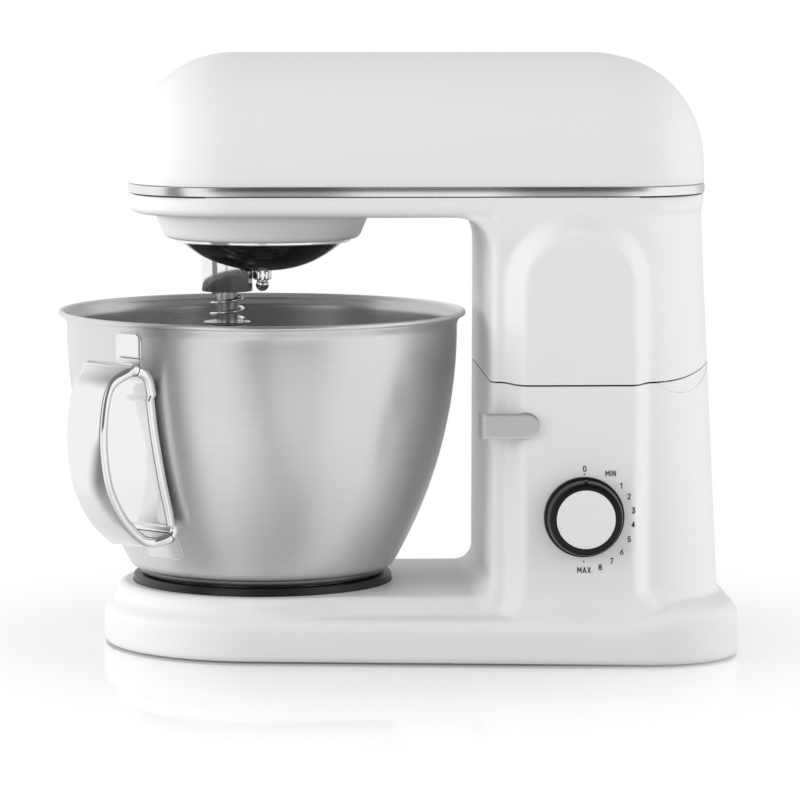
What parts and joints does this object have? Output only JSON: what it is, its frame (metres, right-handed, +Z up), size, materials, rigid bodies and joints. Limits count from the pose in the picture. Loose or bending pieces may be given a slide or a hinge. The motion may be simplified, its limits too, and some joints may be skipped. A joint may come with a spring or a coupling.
{
  "type": "stand mixer",
  "caption": "Tilt-head stand mixer: round bowl on a flat base, a planetary beater under a tilting motor head, a speed dial and a release lever on the column.",
  "frame": {"origin": "middle of the whole outline, bowl rim to rear of the base, on the table", "axes": "+X towards the column at the rear, +Y away from the speed dial, +Z up"},
  "size_m": [0.3702, 0.2246, 0.325],
  "materials": {
    "white_enamel": "white enamel, satin",
    "bottom_grey": "matt moulded plastic",
    "foot_rubber": "matt rubber",
    "zinc_steel": "ground steel",
    "seat_black": "satin black plastic",
    "dial_black": "black, slightly glossy",
    "satin_silver": "satin silver",
    "steel_plate": "plain steel",
    "pot_blue": "moulded plastic",
    "board_green": "solder mask",
    "black_plastic": "matt black plastic",
    "bright_band": "bright, slightly brushed",
    "cast_grey": "die cast",
    "gear_steel": "oiled steel",
    "stator_iron": "laminated iron with varnish",
    "pulley_alloy": "turned",
    "belt_rubber": "ribbed rubber",
    "gloss_black": "high gloss black",
    "chrome": "mirror chrome",
    "spindle_steel": "bright turned steel",
    "beater_alloy": "burnished casting",
    "brushed_steel": "brushed stainless steel"
  },
  "bodies": {
    "base": {"base_housing": "white_enamel", "bottom_plate": "bottom_grey", "feet": "foot_rubber", "bottom_screws": "zinc_steel", "bowl_seat": "seat_black", "seat_screws": "zinc_steel", "dial_ring": "dial_black", "speed_pot": "pot_blue", "control_board": "board_green", "cord_gland": "black_plastic", "hinge_bracket": "steel_plate", "hinge_pin": "zinc_steel", "lever_bush": "black_plastic"},
    "head": {"head_cover": "white_enamel", "trim_band": "bright_band", "head_housing": "white_enamel", "collar_ring": "bright_band", "gear_frame": "cast_grey", "frame_screws": "zinc_steel", "ring_gear": "gear_steel", "shaft_bearings": "zinc_steel", "motor_stator": "stator_iron", "drive_belt": "belt_rubber", "head_bracket": "cast_grey", "latch_striker": "zinc_steel"},
    "motor": {"motor_rotor": "zinc_steel", "motor_pulley": "pulley_alloy"},
    "idler": {"idler_shaft": "zinc_steel", "idler_pulley": "pulley_alloy", "idler_pinion": "gear_steel"},
    "carrier": {"drive_shaft": "zinc_steel", "driven_gear": "gear_steel", "planet_carrier": "gloss_black", "cap_nut": "chrome", "spindle_sleeve": "chrome"},
    "spindle": {"beater_spindle": "spindle_steel", "planet_pinion": "gear_steel", "spindle_pin": "zinc_steel", "spindle_spring": "zinc_steel"},
    "tool": {"spindle_washer": "spindle_steel", "flat_beater": "beater_alloy"},
    "bowl_set": {"bowl": "brushed_steel", "bowl_handle": "chrome", "bowl_foot": "brushed_steel"},
    "dial": {"dial_knob": "dial_black", "dial_cap": "satin_silver", "dial_shaft": "steel_plate"},
    "lever": {"release_lever": "satin_silver", "lever_pin": "zinc_steel", "latch_hook": "steel_plate"}
  },
  "joints": [
    {"name": "head_tilt", "type": "hinge", "parent": "base", "child": "head", "pos_m": [0.15345, 0, 0.162], "axis": [0, 1, 0], "range_deg": [0, 40]},
    {"name": "carrier_spin", "type": "hinge", "parent": "head", "child": "carrier", "pos_m": [-0.07285, 0, 0.22], "axis": [0, 0, 1], "continuous": true},
    {"name": "spindle_spin", "type": "hinge", "parent": "carrier", "child": "spindle", "pos_m": [-0.09223, 0, 0.22], "axis": [0, 0, 1], "continuous": true},
    {"name": "idler_spin", "type": "hinge", "parent": "head", "child": "idler", "pos_m": [-0.02035, 0, 0.27], "axis": [0, 0, 1], "continuous": true},
    {"name": "motor_spin", "type": "hinge", "parent": "head", "child": "motor", "pos_m": [0.11415, 0, 0.24], "axis": [0, 0, 1], "continuous": true},
    {"name": "beater_lift", "type": "slide", "parent": "spindle", "child": "tool", "axis": [0, 0, 1], "range_m": [0, 0.004], "stiffness_N_per_m": 600, "springref_m": -0.005, "deforming": ["spindle_spring"]},
    {"name": "bowl_turn", "type": "hinge", "parent": "base", "child": "bowl_set", "pos_m": [-0.07285, 0, 0.036], "axis": [0, 0, 1], "range_deg": [0, 25]},
    {"name": "dial_turn", "type": "hinge", "parent": "base", "child": "dial", "pos_m": [0.09765, -0.09, 0.0787], "axis": [0, 1, 0], "range_deg": [0, 180]},
    {"name": "lever_lift", "type": "hinge", "parent": "base", "child": "lever", "pos_m": [0.06615, -0.075, 0.128], "axis": [0, 1, 0], "range_deg": [0, 14], "stiffness_Nm_per_rad": 0.08, "springref_deg": -11.46}
  ],
  "couplings": [
    {"joint": "spindle_spin", "follows": "carrier_spin", "ratio": -2.9375},
    {"joint": "idler_spin", "follows": "carrier_spin", "ratio": -4},
    {"joint": "motor_spin", "follows": "carrier_spin", "ratio": -11.826}
  ]
}
